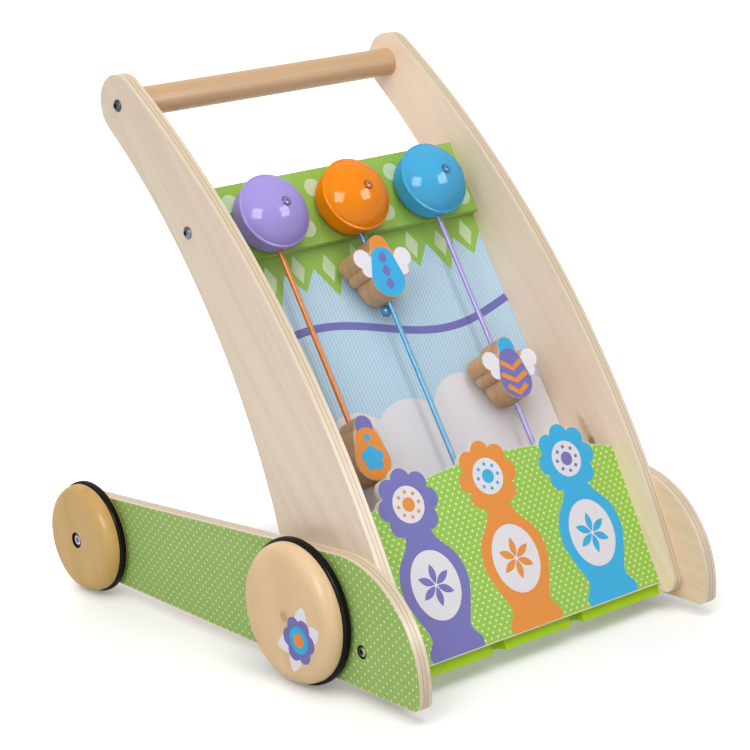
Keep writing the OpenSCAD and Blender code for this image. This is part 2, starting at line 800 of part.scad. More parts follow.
// Thick slider with a bore for its rod, at a distance below the rods' upper end
module slider(x, drop, wings) {
    on_panel() translate([x, -drop, 0]) difference() {
        translate([0, 0, -slider_back]) linear_extrude(slider_t) rotate(bug_turn) {
            bug_outline();
            if (wings) wing_outline();
        }
        translate([0, -2.5 * belly_r, 0]) rotate([-90, 0, 0])
            cylinder(r = rod_r + slide_gap, h = 5 * belly_r);
    }
}

// Left slider, without wings
module left_slider() {
    color("peru") slider(lanes[0], left_drop, false);
}

// Centre slider, with wings and a hole for the bead's peg
module centre_slider() {
    color("peru") difference() {
        slider(lanes[1], centre_drop, true);
        on_panel() translate([0, bead_up, peg_out]) rotate([-90, 0, 0])
            cylinder(r = 0.3 * bead_r + fit_gap, h = 2.7 * bead_r);
    }
}

// Right slider, with wings
module right_slider() {
    color("peru") slider(lanes[2], right_drop, true);
}

// Bead pegged into the underside of the centre slider
module slider_bead() {
    color("steelblue") on_panel() translate([0, bead_up, peg_out]) {
        translate([0, 0, -bead_r / 10]) sphere(bead_r);
        rotate([-90, 0, 0]) cylinder(r = 0.3 * bead_r, h = 2.6 * bead_r);
    }
}

left_upright();
right_upright();
left_rail();
right_rail();
handle_bar();
bell_board();
sky_panel();
front_panel();
bottom_bar();
left_rod();
centre_rod();
right_rod();
bell_posts();
left_bell_cup();
centre_bell_cup();
right_bell_cup();
left_bell_dome();
centre_bell_dome();
right_bell_dome();
bell_rivets();
handle_bolts();
board_bolts();
rail_bolts();
threaded_inserts();
locating_dowels();
rail_screws();
front_left_wheel();
front_right_wheel();
rear_left_wheel();
rear_right_wheel();
front_left_tyre();
front_right_tyre();
rear_left_tyre();
rear_right_tyre();
front_axle();
rear_axle_bolts();
rear_tee_nuts();
wheel_washers();
left_slider();
centre_slider();
right_slider();
slider_bead();
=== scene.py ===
"""Looks of a wooden toddler push toy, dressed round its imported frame.

Lengths are in millimetres, which MM turns into the metres of the scene. Angles are in degrees.
"""

import math

import bmesh
import bpy
from mathutils import Matrix, Vector


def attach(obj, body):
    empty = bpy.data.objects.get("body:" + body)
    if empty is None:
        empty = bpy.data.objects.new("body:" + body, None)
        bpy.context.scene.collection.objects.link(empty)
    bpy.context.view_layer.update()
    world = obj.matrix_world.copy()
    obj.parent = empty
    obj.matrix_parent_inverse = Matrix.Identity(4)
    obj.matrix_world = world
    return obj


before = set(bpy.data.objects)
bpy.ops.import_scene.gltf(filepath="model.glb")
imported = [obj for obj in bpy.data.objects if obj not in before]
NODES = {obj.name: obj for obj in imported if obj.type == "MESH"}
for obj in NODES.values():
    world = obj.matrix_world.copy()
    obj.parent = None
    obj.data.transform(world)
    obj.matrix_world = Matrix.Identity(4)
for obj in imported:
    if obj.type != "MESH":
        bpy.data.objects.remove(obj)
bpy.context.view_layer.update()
MM = 0.001

# Main sizes of the toy, as in the frame
INNER_HALF = 141.0
PLY = 12.0
SHEET_HALF = INNER_HALF - 0.4
UPRIGHT_OUT = INNER_HALF + PLY
RAIL_OUT = INNER_HALF + 2 * PLY
LANES = (-87.0, 0.0, 87.0)
ROD_TOP = (0.0, 5.1, 322.8)
PANEL_TILT = 32.0
FRONT_TILT = 26.6
FRONT_LOW = 25.6
FRONT_GAP = 23.5
FRONT_Y = ROD_TOP[1] - (ROD_TOP[2] - FRONT_LOW) * math.tan(math.radians(PANEL_TILT)) - FRONT_GAP
GRASS_H = 124.0
CREST_H = 23.6
FRONT_T = 5.0
BLOOM_R = 31.0
PETALS = 8
BLOOM_UP = (GRASS_H + 3.1, GRASS_H + 6.2, GRASS_H + 0.9)
SKY_OUT = -19.0
BOARD_OUT = -10.0
BOARD_LOW = 4.0
BOARD_H = 66.5
BELL_UP = 33.0
SLIDER_OUT = 13.0
SLIDER_DROP = (180.0, 34.0, 147.0)
SLIDER_TURN = -7.0
BELLY_R = 17.0
FRONT_AXLE = (-108.6, 61.35)
REAR_AXLE = (196.2, 50.45)
SUNK_R = 7.04
WHEEL_OUT = 188.5
RAIL_BOLT = (-177.2, 43.6)
RECESS_R = 5.73
SOCKET_R = 2.2
# Radii in mm over which the head of a sunk bolt turns to painted shade at its rim
SHADED_BOLT_RIM = (3.9, 4.4)
PRINT_T = 0.12


def srgb(code):
    """Linear colour of a web colour code."""
    parts = [int(code[i : i + 2], 16) / 255 for i in (1, 3, 5)]
    return tuple(c / 12.92 if c <= 0.04045 else ((c + 0.055) / 1.055) ** 2.4 for c in parts) + (1.0,)


def shaded(colour, share):
    """Colour with only a share of its light."""
    return tuple(c * share for c in colour[:3]) + (1.0,)


# Node graphs of the materials


class Graph:
    """Material with a principled shader and short calls for the nodes used here."""

    def __init__(self, name, roughness=0.5, coat=0.0, coat_roughness=0.05, metallic=0.0, specular=0.5):
        self.material = bpy.data.materials.new(name)
        self.material.use_nodes = True
        self.tree = self.material.node_tree
        self.shader = self.tree.nodes["Principled BSDF"]
        self.shader.inputs["Roughness"].default_value = roughness
        self.shader.inputs["Coat Weight"].default_value = coat
        self.shader.inputs["Coat Roughness"].default_value = coat_roughness
        self.shader.inputs["Metallic"].default_value = metallic
        self.shader.inputs["Specular IOR Level"].default_value = specular

    def put(self, socket, value):
        """Links a socket, or sets a plain value."""
        if isinstance(value, bpy.types.NodeSocket):
            self.tree.links.new(value, socket)
        else:
            socket.default_value = value

    def coords(self, output="Object"):
        return self.tree.nodes.new("ShaderNodeTexCoord").outputs[output]

    def split(self, vector):
        node = self.tree.nodes.new("ShaderNodeSeparateXYZ")
        self.put(node.inputs[0], vector)
        return node.outputs

    def join(self, x, y, z):
        node = self.tree.nodes.new("ShaderNodeCombineXYZ")
        for socket, value in zip(node.inputs, (x, y, z)):
            self.put(socket, value)
        return node.outputs[0]

    def math(self, operation, a, b=0.0, c=0.0):
        node = self.tree.nodes.new("ShaderNodeMath")
        node.operation = operation
        for socket, value in zip(node.inputs, (a, b, c)):
            self.put(socket, value)
        return node.outputs[0]

    def length(self, a, b, a_mm=0.0, b_mm=0.0):
        """Distance of a pair of coordinates from a point given in millimetres."""
        ends = [self.math("SUBTRACT", a, a_mm * MM), self.math("SUBTRACT", b, b_mm * MM)]
        return self.math("SQRT", self.math("ADD", *[self.math("MULTIPLY", e, e) for e in ends]))

    def step(self, value, low, high):
        """Smooth rise from 0 at low to 1 at high."""
        node = self.tree.nodes.new("ShaderNodeMapRange")
        node.interpolation_type = "SMOOTHSTEP"
        self.put(node.inputs["Value"], value)
        node.inputs["From Min"].default_value = low
        node.inputs["From Max"].default_value = high
        return node.outputs["Result"]

    def mapped(self, vector, scale, turn=(0, 0, 0)):
        node = self.tree.nodes.new("ShaderNodeMapping")
        self.put(node.inputs["Vector"], vector)
        node.inputs["Scale"].default_value = scale
        node.inputs["Rotation"].default_value = [math.radians(a) for a in turn]
        return node.outputs[0]

    def noise(self, vector, scale=1.0, detail=2.0, rough=0.5, distortion=0.0):
        node = self.tree.nodes.new("ShaderNodeTexNoise")
        self.put(node.inputs["Vector"], vector)
        node.inputs["Scale"].default_value = scale
        node.inputs["Detail"].default_value = detail
        node.inputs["Roughness"].default_value = rough
        node.inputs["Distortion"].default_value = distortion
        return node.outputs["Fac"]

    def mix(self, factor, a, b):
        node = self.tree.nodes.new("ShaderNodeMix")
        node.data_type = "RGBA"
        self.put(node.inputs["Factor"], factor)
        self.put(node.inputs[6], a)
        self.put(node.inputs[7], b)
        return node.outputs[2]

    def ramp(self, factor, stops):
        node = self.tree.nodes.new("ShaderNodeValToRGB")
        self.put(node.inputs[0], factor)
        bar = node.color_ramp
        while len(bar.elements) < len(stops):
            bar.elements.new(1.0)
        for element, (place, colour) in zip(bar.elements, stops):
            element.position = place
            element.color = colour
        return node.outputs[0]

    def bump(self, height, strength, distance):
        node = self.tree.nodes.new("ShaderNodeBump")
        self.put(node.inputs["Height"], height)
        node.inputs["Strength"].default_value = strength
        node.inputs["Distance"].default_value = distance
        self.put(self.shader.inputs["Normal"], node.outputs[0])

    def fine_bump(self, place, strength=0.05):
        """Fine unevenness of a painted or printed surface."""
        self.bump(self.noise(place, 900.0, 2.0), strength, 0.0004)

    def colour(self, value):
        self.put(self.shader.inputs["Base Color"], value)
        return self.material


def grain(g, vector, light, dark, along_mm, across_mm):
    """Wood colour and bump height: long streaks, broad tone and short flecks along the vector's X."""

    def layer(along, across, *settings):
        scale = (along / along_mm, across / across_mm, across / across_mm)
        return g.noise(g.mapped(vector, scale), 1.0, *settings)

    streak = g.math("MULTIPLY", g.step(layer(1000, 1000, 5.0, 0.6, 0.4), 0.32, 0.72), 0.55)
    broad = g.math("MULTIPLY", layer(600, 140, 2.0), 0.45)
    fleck = g.math("MULTIPLY", g.step(layer(9000, 3500, 1.0), 0.66, 0.80), 0.35)
    shade = g.math("ADD", g.math("ADD", streak, broad), fleck)
    return g.mix(g.math("MINIMUM", shade, 1.0), light, dark), shade


def hole_wall_shade(g, base, y, z, hole):
    """Paints shade on the walls of a round hole, given by its y, z and radius."""
    inside = g.step(g.length(y, z, *hole[:2]), (hole[2] + 0.35) * MM, (hole[2] + 0.15) * MM)
    return g.mix(inside, base, srgb("#241D12"))


# Smears of a dark mark with a paler streak: start along the grain, length, width and colour
MARK_SMEARS = ((12.0, 18.0, 5.5, "#C7A77C"), (0.0, 7.0, 4.2, "#4F3A26"))


def ply_material(name, x_low, lean, light, dark, mark=None, hole=None):
    """Birch ply from x_low outwards: grain on the broad faces, glued layers on the edges.

    lean is the grain's slope from level. A mark is a place y, z on the inner face, given a dark smear and a
    paler streak. A hole gets painted shade on its walls.
    """
    g = Graph(name, roughness=0.45, coat=0.2, coat_roughness=0.3)
    place = g.coords()
    x, y, z = g.split(place)
    face = g.step(g.math("ABSOLUTE", g.split(g.coords("Normal"))[0]), 0.80, 0.97)
    turned = g.mapped(g.join(y, z, x), (1, 1, 1), (0, 0, -lean))
    wood, shade = grain(g, turned, srgb(light), srgb(dark), 260.0, 11.0)
    if mark:
        away = g.join(g.math("SUBTRACT", y, mark[0] * MM), g.math("SUBTRACT", z, mark[1] * MM), 0.0)
        along, across, _ = g.split(g.mapped(away, (1, 1, 1), (0, 0, -lean)))
        blur = g.math("MULTIPLY", g.math("SUBTRACT", g.noise(place, 160.0, 3.0), 0.5), 0.9)
        inner = g.step(x, (x_low + 2.0) * MM, (x_low + 1.0) * MM)
        for start, long, wide, code in MARK_SMEARS:
            shifted = g.math("SUBTRACT", along, start * MM)
            ends = [g.math("DIVIDE", shifted, long * MM), g.math("DIVIDE", across, wide * MM)]
            smear = g.math("MULTIPLY", g.step(g.math("ADD", g.length(*ends), blur), 1.25, 0.25), inner)
            wood = g.mix(g.math("MULTIPLY", smear, 0.7), wood, srgb(code))
    depth = g.math("DIVIDE", g.math("SUBTRACT", g.math("ABSOLUTE", x), x_low * MM), PLY * MM)
    wander = g.math("MULTIPLY", g.math("SUBTRACT", g.noise(place, 22.0, 2.0), 0.5), 0.06)
    pale, mid, glue = (srgb(c) for c in ("#D9CAB3", "#CFBEA3", "#A28562"))
    stops = [(0.0, pale), (0.29, pale), (0.32, glue), (0.345, glue), (0.375, mid),
             (0.63, mid), (0.66, glue), (0.685, glue), (0.715, pale)]
    layers = g.ramp(g.math("ADD", depth, wander), stops)
    fibre = g.noise(g.mapped(place, (300, 90, 90)), 1.0, 3.0)
    edge = g.mix(g.math("MULTIPLY", fibre, 0.4), layers, srgb("#BFA280"))
    g.bump(g.math("ADD", shade, g.math("MULTIPLY", fibre, 0.6)), 0.12, 0.0006)
    bare = g.mix(face, edge, wood)
    return g.colour(hole_wall_shade(g, bare, y, z, hole) if hole else bare)


def wood_material(name, light, dark, axis, roughness=0.36, coat=0.35, specular=0.5, along=150.0, across=4.5,
                  turn=0.0, hole=None):
    """Solid lacquered wood with its grain along a named axis, turned in that axis's plane.

    along and across are the length and width of the streaks. A hole gets painted shade on its walls.
    """
    g = Graph(name, roughness=roughness, coat=coat, coat_roughness=0.12, specular=specular)
    x, y, z = g.split(g.coords())
    order = {"X": (x, y, z), "Z": (z, y, x)}[axis]
    place = g.mapped(g.join(*order), (1, 1, 1), (0, 0, turn))
    wood, shade = grain(g, place, srgb(light), srgb(dark), along, across)
    g.bump(shade, 0.08, 0.0005)
    return g.colour(hole_wall_shade(g, wood, y, z, hole) if hole else wood)


def paint_material(name, code, roughness=0.45, coat=0.0, coat_roughness=0.05, specular=0.5, mottle=0.06,
                   bump=0.05):
    """Paint or print with a faint uneven tone and a fine surface."""
    g = Graph(name, roughness=roughness, coat=coat, coat_roughness=coat_roughness, specular=specular)
    base = srgb(code)
    place = g.coords()
    cloudy = g.noise(place, 35.0, 3.0)
    g.fine_bump(place, bump)
    return g.colour(g.mix(cloudy, base, shaded(base, 1 - 2 * mottle)))


def dot_mask(g, u, v, cell_u, cell_v, radius):
    """1 inside staggered dots of a plane pattern, u and v in metres."""
    distances = []
    for shift in (0.0, 0.5):
        ends = []
        for value, cell in ((u, cell_u), (v, cell_v)):
            share = g.math("FRACT", g.math("ADD", g.math("DIVIDE", value, cell * MM), shift))
            ends.append(g.math("MULTIPLY", g.math("SUBTRACT", share, 0.5), cell * MM))
        distances.append(g.length(*ends))
    return g.step(g.math("MINIMUM", *distances), (radius + 0.2) * MM, (radius - 0.2) * MM)


def dotted_material(name, ground, dot, cell_u, cell_v, radius):
    """Green print with staggered pale dots, in the piece's own X and Y."""
    g = Graph(name, roughness=0.5, specular=0.15)
    place = g.coords()
    u, v, _ = g.split(place)
    cloudy = g.noise(place, 40.0, 3.0)
    base = srgb(ground)
    mottled = g.mix(cloudy, base, shaded(base, 0.88))
    g.fine_bump(place)
    return g.colour(g.mix(dot_mask(g, u, v, cell_u, cell_v, radius), mottled, srgb(dot)))


def striped_material(name, pale, deep, pitch):
    """Fine, slightly uneven stripes up the piece, like a brushed sky."""
    g = Graph(name, roughness=0.5, specular=0.2)
    place = g.coords()
    u, _, _ = g.split(place)
    sway = g.math("MULTIPLY", g.noise(place, 14.0, 2.0), 0.003)
    wave = g.math("SINE", g.math("MULTIPLY", g.math("ADD", u, sway), 2 * math.pi / (pitch * MM)))
    strength = g.math("ADD", g.math("MULTIPLY", g.noise(g.mapped(place, (60, 9, 1)), 1.0, 2.0), 0.8), 0.35)
    line = g.math("MINIMUM", g.math("MULTIPLY", g.step(wave, -0.5, 0.8), strength), 1.0)
    g.fine_bump(place)
    return g.colour(g.mix(line, srgb(pale), srgb(deep)))


def board_material(name, green, brown):
    """Brown board whose underside is painted green."""
    g = Graph(name, roughness=0.55)
    place = g.coords()
    t = math.radians(PANEL_TILT)
    _, y, z = g.split(g.coords("Normal"))
    upward = g.math("ADD", g.math("MULTIPLY", y, math.sin(t)), g.math("MULTIPLY", z, math.cos(t)))
    fibre = g.noise(place, 420.0, 4.0)
    g.bump(fibre, 0.2, 0.0004)
    plain = g.mix(fibre, srgb(brown), srgb("#8C6C4A"))
    return g.colour(g.mix(g.step(upward, -0.7, -0.9), plain, srgb(green)))


def rivet_material():
    """Rivets in darker copies of their bells' paints, by their place across the toy, as painted shade, with
    painted shade in a ring near the rim and a dot in the middle, and dark chips.
    """
    g = Graph("rivet_shaded_paint", roughness=0.3, coat=0.5, coat_roughness=0.15, specular=0.2)
    x, y, z = g.split(g.coords())
    pitch, t = LANES[2] * MM, math.radians(PANEL_TILT)
    lane = g.math("ROUND", g.math("DIVIDE", x, pitch))
    rise = [g.math("MULTIPLY", g.math("SUBTRACT", v, at * MM), share)
            for v, at, share in ((y, ROD_TOP[1], math.sin(t)), (z, ROD_TOP[2], math.cos(t)))]
    aside = g.math("SUBTRACT", x, g.math("MULTIPLY", lane, pitch))
    away = g.length(aside, g.math("ADD", *rise), 0.0, BELL_UP)
    # Darker copies of the bell paints, as painted shade on the small heads
    warm = g.mix(g.math("GREATER_THAN", lane, -0.5), srgb("#7D6DB4"), srgb("#C96A08"))
    paint = g.mix(g.math("GREATER_THAN", lane, 0.5), warm, srgb("#2F7FB0"))
    # Painted shade: a dark ring near the head's rim and a dark dot in its middle
    rim_and_dot_shade = g.math("MAXIMUM", g.step(away, 3.0 * MM, 3.6 * MM), g.step(away, 1.4 * MM, 0.9 * MM))
    chip = g.step(g.noise(g.coords(), 400.0, 3.0), 0.60, 0.75)
    # One dark colour serves both the painted shade and the dark chips of wear
    dark = g.mix(0.72, paint, srgb("#1B1A2A"))
    return g.colour(g.mix(g.math("MAXIMUM", g.math("MULTIPLY", chip, 0.5), rim_and_dot_shade), paint, dark))


def steel_material(name, code, roughness, middle=None, socket=0.0):
    """Plated steel with fine turning marks and a little dirt.

    Sunk bolts at a y, z get painted shade as a dark outer rim, and as a dark socket where its radius is
    given.
    """
    g = Graph(name, roughness=roughness, metallic=1.0)
    place = g.coords()
    smear = g.noise(place, 180.0, 4.0)
    base = srgb(code)
    g.bump(g.noise(g.mapped(place, (300, 2500, 2500)), 1.0, 2.0), 0.1, 0.0002)
    plated = g.mix(g.step(smear, 0.40, 0.75), base, shaded(base, 0.55))
    if middle:
        _, y, z = g.split(place)
        away = g.length(y, z, *middle)
        # Painted shade: dark rim of a sunk bolt's head, and of its socket
        shade = g.step(away, *[r * MM for r in SHADED_BOLT_RIM])
        if socket:
            shade = g.math("MAXIMUM", shade, g.step(away, (socket + 0.2) * MM, (socket - 0.2) * MM))
        plated = g.mix(shade, plated, srgb("#1F1D1A"))
    return g.colour(plated)


def rubber_material():
    """Black rubber with faint moulding grain and dust."""
    g = Graph("tyre_rubber", roughness=0.5, coat=0.12, coat_roughness=0.08, specular=0.05)
    place = g.coords()
    dust = g.step(g.noise(place, 60.0, 4.0), 0.45, 0.85)
    g.bump(g.noise(place, 1400.0, 2.0), 0.15, 0.0003)
    return g.colour(g.mix(dust, srgb("#0D0B0B"), srgb("#181515")))


# Outlines of printed shapes, as lists of plane points in millimetres


def oval(cx, cy, rx, ry=None, count=48):
    angles = [2 * math.pi * k / count for k in range(count)]
    return [(cx + rx * math.cos(a), cy + (ry or rx) * math.sin(a)) for a in angles]


def rectangle(half, low, top):
    return [(-half, low), (half, low), (half, top), (-half, top)]


def leaf(cx, cy, length, width, turn, count=14):
    """Pointed oval of two bowed sides."""
    c, s = math.cos(math.radians(turn)), math.sin(math.radians(turn))
    side = [k / count for k in range(count)]
    rim = [(t - 0.5, 0.5 * math.sin(math.pi * t) ** 0.9) for t in side]
    rim += [(0.5 - t, -0.5 * math.sin(math.pi * t) ** 0.9) for t in side]
    return [(cx + a * length * c - b * width * s, cy + a * length * s + b * width * c) for a, b in rim]


def cluster(cx, cy, circles, count=160):
    """Outer rim of overlapping circles that a middle point can see. circles hold x, y and radius."""
    rim = []
    for k in range(count):
        a = 2 * math.pi * k / count
        ux, uy = math.cos(a), math.sin(a)
        reach = 0.0
        for x, y, r in circles:
            along = x * ux + y * uy
            square = r * r - (x * x + y * y - along * along)
            if square > 0:
                reach = max(reach, along + math.sqrt(square))
        rim.append((cx + reach * ux, cy + reach * uy))
    return rim


def around(cx, cy, radius, angles):
    """Places on a circle, each as x, y and its angle."""
    turns = [(a, math.radians(a)) for a in angles]
    return [(cx + radius * math.cos(t), cy + radius * math.sin(t), a) for a, t in turns]


def blossom(cx, cy, radius, petals, petal_r, turn=90.0):
    """Round flower with petals about a middle."""
    ring = radius - petal_r
    angles = [turn + 360 * k / petals for k in range(petals)]
    circles = [(x, y, petal_r) for x, y, _ in around(0, 0, ring, angles)]
    return cluster(cx, cy, circles + [(0, 0, ring + 0.2 * petal_r)])


def ribbon(points, width):
    """Band of one width along a line of points."""
    left, right = [], []
    for k, (x, y) in enumerate(points):
        ax, ay = points[max(k - 1, 0)]
        bx, by = points[min(k + 1, len(points) - 1)]
        d = math.hypot(bx - ax, by - ay)
        nx, ny = -(by - ay) / d * width / 2, (bx - ax) / d * width / 2
        left.append((x + nx, y + ny))
        right.append((x - nx, y - ny))
    return right + left[::-1]


def smooth(points, count=10):
    """Curve through a list of points."""
    out = []
    for k in range(len(points) - 1):
        a, b, c, d = (Vector(points[min(max(k + i, 0), len(points) - 1)]) for i in (-1, 0, 1, 2))
        for j in range(count):
            t = j / count
            out.append(tuple(0.5 * (2 * b + (c - a) * t + (2 * a - 5 * b + 4 * c - d) * t * t
                                    + (3 * b - a - 3 * c + d) * t ** 3)))
    return out + [tuple(points[-1])]


def vase(cx, profile):
    """Mirrored outline of (half width, height) points from the foot up."""
    curve = smooth(profile)
    return [(cx + w, h) for w, h in curve] + [(cx - w, h) for w, h in reversed(curve)]


# Planes that carry the prints


def plane(origin, across, up):
    """Frame whose X runs across, Y up and Z out of a face."""
    a, b = Vector(across).normalized(), Vector(up).normalized()
    turn = Matrix((a, b, a.cross(b))).transposed().to_4x4()
    return Matrix.Translation(Vector(origin) * MM) @ turn


def leaning(origin, tilt):
    t = math.radians(tilt)
    return plane(origin, (1, 0, 0), (0, math.sin(t), math.cos(t)))


PANEL = leaning(ROD_TOP, PANEL_TILT)
FRONT = leaning((0, FRONT_Y, FRONT_LOW), FRONT_TILT)


def side(s, x, y=0.0, z=0.0):
    """Outer side plane at a distance x: s is 1 on the right and -1 on the left."""
    return plane((s * x, y, z), (0, s, 0), (0, 0, 1))


def printed(name, at, outlines, out, material, body, layer=0, holes=(), thick=PRINT_T):
    """Thin closed sheets of print on a plane, each layer lying on the one below.

    Holes go through all the sheets.
    """
    low = (out + layer * PRINT_T) * MM
    made = bmesh.new()
    for outline in list(outlines) + list(holes):
        rim = [made.verts.new((x * MM, y * MM, low)) for x, y in outline]
        for k, vert in enumerate(rim):
            made.edges.new((vert, rim[k - 1]))
    bmesh.ops.triangle_fill(made, use_beauty=True, edges=made.edges[:])
    raised = bmesh.ops.extrude_face_region(made, geom=made.faces[:])["geom"]
    tops = [part for part in raised if isinstance(part, bmesh.types.BMVert)]
    bmesh.ops.translate(made, vec=(0, 0, thick * MM), verts=tops)
    bmesh.ops.recalc_face_normals(made, faces=made.faces[:])
    mesh = bpy.data.meshes.new(name)
    made.to_mesh(mesh)
    made.free()
    mesh.materials.append(material)
    piece = bpy.data.objects.new(name, mesh)
    bpy.context.scene.collection.objects.link(piece)
    piece.matrix_world = at
    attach(piece, body)


def soften(node, radius):
    """Rounds the sharp edges of a frame piece for show."""
    piece = NODES[node]
    weld = piece.modifiers.new("weld", "WELD")
    weld.merge_threshold = 0.00001
    bevel = piece.modifiers.new("round_edges", "BEVEL")
    bevel.width = radius * MM
    bevel.segments = 3
    bevel.limit_method = "ANGLE"
    bevel.angle_limit = math.radians(40)
    piece.modifiers.new("even_normals", "WEIGHTED_NORMAL").keep_sharp = False


def dress(material, *nodes):
    """Gives frame pieces a material in place of their plain one."""
    for node in nodes:
        slots = NODES[node].data.materials
        slots.clear()
        slots.append(material)


# Frame pieces

UPRIGHT_LEAN = 51.0
RAIL_LEAN = 4.0
MARK_AT = (-124.0, 135.0)
UPRIGHT_ROUND = 1.5
RAIL_ROUND = 0.5
WHEEL_TURN = 12.0
# One birch in two copies: the right upright is painted lighter, standing in for light that its inner face
# misses, and the left one darker
dress(ply_material("birch_left_painted_darker", INNER_HALF, UPRIGHT_LEAN, "#DDCCB8", "#CEB9A3"), "left_upright")
dress(ply_material("birch_right_painted_lighter", INNER_HALF, UPRIGHT_LEAN, "#F6E1CA", "#EDD1B5", mark=MARK_AT),
      "right_upright")
# The rails get painted shade on the walls of their bolt holes
dress(ply_material("birch_rail", UPRIGHT_OUT, RAIL_LEAN, "#EAD3B4", "#DABE99", hole=(*RAIL_BOLT, RECESS_R)),
      "left_rail", "right_rail")
for hand in ("left", "right"):
    soften(hand + "_upright", UPRIGHT_ROUND)
    soften(hand + "_rail", RAIL_ROUND)
dress(wood_material("beech_dowel", "#C9A680", "#B99267", "X", roughness=0.5, coat=0.1, across=3.0),
      "handle_bar")
dress(wood_material("axle_dowel", "#C9A778", "#A98355", "X", roughness=0.5, coat=0.1, along=90.0,
                    across=2.0), "front_axle")
for k, wheel in enumerate(("front_left_wheel", "front_right_wheel", "rear_left_wheel", "rear_right_wheel")):
    tones = ("#E1C39B", "#D2B185") if k < 2 else ("#D1AD72", "#BF9757")
    # Rear wheels get painted shade on the walls of their sunk axle holes
    sunk = None if k < 2 else (*REAR_AXLE, SUNK_R)
    turn = WHEEL_TURN if k % 2 else -WHEEL_TURN
    wood = wood_material("wheel_wood_%d" % k, *tones, "Z", roughness=0.45, coat=0.16, specular=0.1,
                         along=420.0, across=34.0, turn=turn, hole=sunk)
    dress(wood, wheel)
dress(rubber_material(), "front_left_tyre", "front_right_tyre", "rear_left_tyre", "rear_right_tyre")
GREEN = "#95BD53"
dress(board_material("board_paint", GREEN, "#A9875F"), "bell_board")
dress(paint_material("hardboard", "#B79A72", roughness=0.7, mottle=0.1, bump=0.2), "sky_panel")
PANEL_EDGE = paint_material("panel_edge", "#E2DCCB", roughness=0.6, bump=0.1)
dress(PANEL_EDGE, "front_panel")
dress(paint_material("lime_paint", "#A7CF08", roughness=0.5, specular=0.1, mottle=0.05, bump=0.06),
      "bottom_bar")
for kind, code, rod_code, bell, rod in (("purple", "#A191D7", "#978DCD", "left", "right"),
                                        ("orange", "#EC8500", "#DA7A0C", "centre", "left"),
                                        ("blue", "#43A6D6", "#3B98C5", "right", "centre")):
    gloss = paint_material(kind + "_enamel", code, roughness=0.3, coat=0.38, coat_roughness=0.08,
                           specular=0.0, mottle=0.02, bump=0.02)
    dress(gloss, bell + "_bell_cup", bell + "_bell_dome")
    dress(paint_material(kind + "_rod_paint", rod_code, roughness=0.3, coat=0.18, mottle=0.04),
          rod + "_rod")
dress(rivet_material(), "bell_rivets")
dress(steel_material("black_steel", "#4A4C4E", 0.36), "handle_bolts")
dress(steel_material("bolt_steel", "#666D74", 0.34), "board_bolts", "rail_screws")
# Sunk bolts get painted shade at the rims of their heads, and the rail bolts in their sockets too
dress(steel_material("sunk_bolt_steel", "#A7A28F", 0.42, RAIL_BOLT, SOCKET_R), "rail_bolts")
dress(steel_material("axle_bolt_steel", "#A9A9B8", 0.36, REAR_AXLE), "rear_axle_bolts")
dress(steel_material("axle_steel", "#8F959C", 0.3), "rear_tee_nuts", "wheel_washers")
dress(steel_material("insert_brass", "#B79A5E", 0.35), "threaded_inserts")
dress(wood_material("turned_peg", "#DCC29A", "#C4A374", "Z"), "bell_posts", "locating_dowels")
slider_wood = wood_material("slider_wood", "#CFA67C", "#B4875B", "Z", roughness=0.5, coat=0.15,
                            along=60.0, across=3.0)
dress(slider_wood, "left_slider", "centre_slider", "right_slider")
dress(paint_material("bead_paint", "#3F86BE", roughness=0.3, coat=0.6, mottle=0.05, bump=0.04),
      "slider_bead")

# Prints

INK_CODES = {"white": "#DFDCE1", "purple": "#716EB3", "orange": "#E28C35", "blue": "#33AADC",
             "green": GREEN, "leaf": "#C6DAAE", "lilac": "#E2E0E7"}
INK = {name: paint_material("print_" + name, code, roughness=0.5, specular=0.15, mottle=0.03)
       for name, code in INK_CODES.items()}
RAIL_DOTS = dotted_material("rail_print", "#9ABA65", "#C9DEA2", cell_u=9.0, cell_v=8.6, radius=1.05)
MEADOW = dotted_material("meadow_print", "#97C44D", "#D2E79B", cell_u=6.8, cell_v=8.3, radius=1.0)
SKY = striped_material("sky_print", "#BAD4E4", "#9ABCD3", pitch=3.4)
EDGE_IN = 0.5


def rail_print_outline(inset):
    """Face of a rail inside its rounded edge: nose arc, sloping top, tail arc, foot and lower corner."""
    nose, nose_r = Vector((-157.6, 29.2)), 89.0
    tail, tail_r = Vector((196.2, 49.7)), 38.1
    low, corner_r = 11.6, 9.0
    lean = (tail - nose).length
    slope = math.atan2(tail.y - nose.y, tail.x - nose.x)
    touch = slope + math.acos((nose_r - tail_r) / lean)
    corner_z = low + corner_r
    corner = Vector((nose.x - math.sqrt((nose_r - corner_r) ** 2 - (corner_z - nose.y) ** 2), corner_z))
    bend = math.atan2(corner.y - nose.y, corner.x - nose.x) % (2 * math.pi)

    def arc(middle, r, start, end, count):
        steps = [start + (end - start) * k / count for k in range(count + 1)]
        return [(middle.x + r * math.cos(a), middle.y + r * math.sin(a)) for a in steps]

    rim = arc(tail, tail_r - inset, -math.pi / 2, touch, 40)
    rim += arc(nose, nose_r - inset, touch, bend, 60)
    return rim + arc(corner, corner_r - inset, bend, 1.5 * math.pi, 12)


for s, hand in ((-1, "left"), (1, "right")):
    outline = [(s * y, z) for y, z in rail_print_outline(EDGE_IN)]
    bolt_hole = oval(s * RAIL_BOLT[0], RAIL_BOLT[1], RECESS_R + 0.1)
    printed(hand + "_rail_print", side(s, RAIL_OUT), [outline], 0.0, RAIL_DOTS, "frame",
            holes=[bolt_hole])

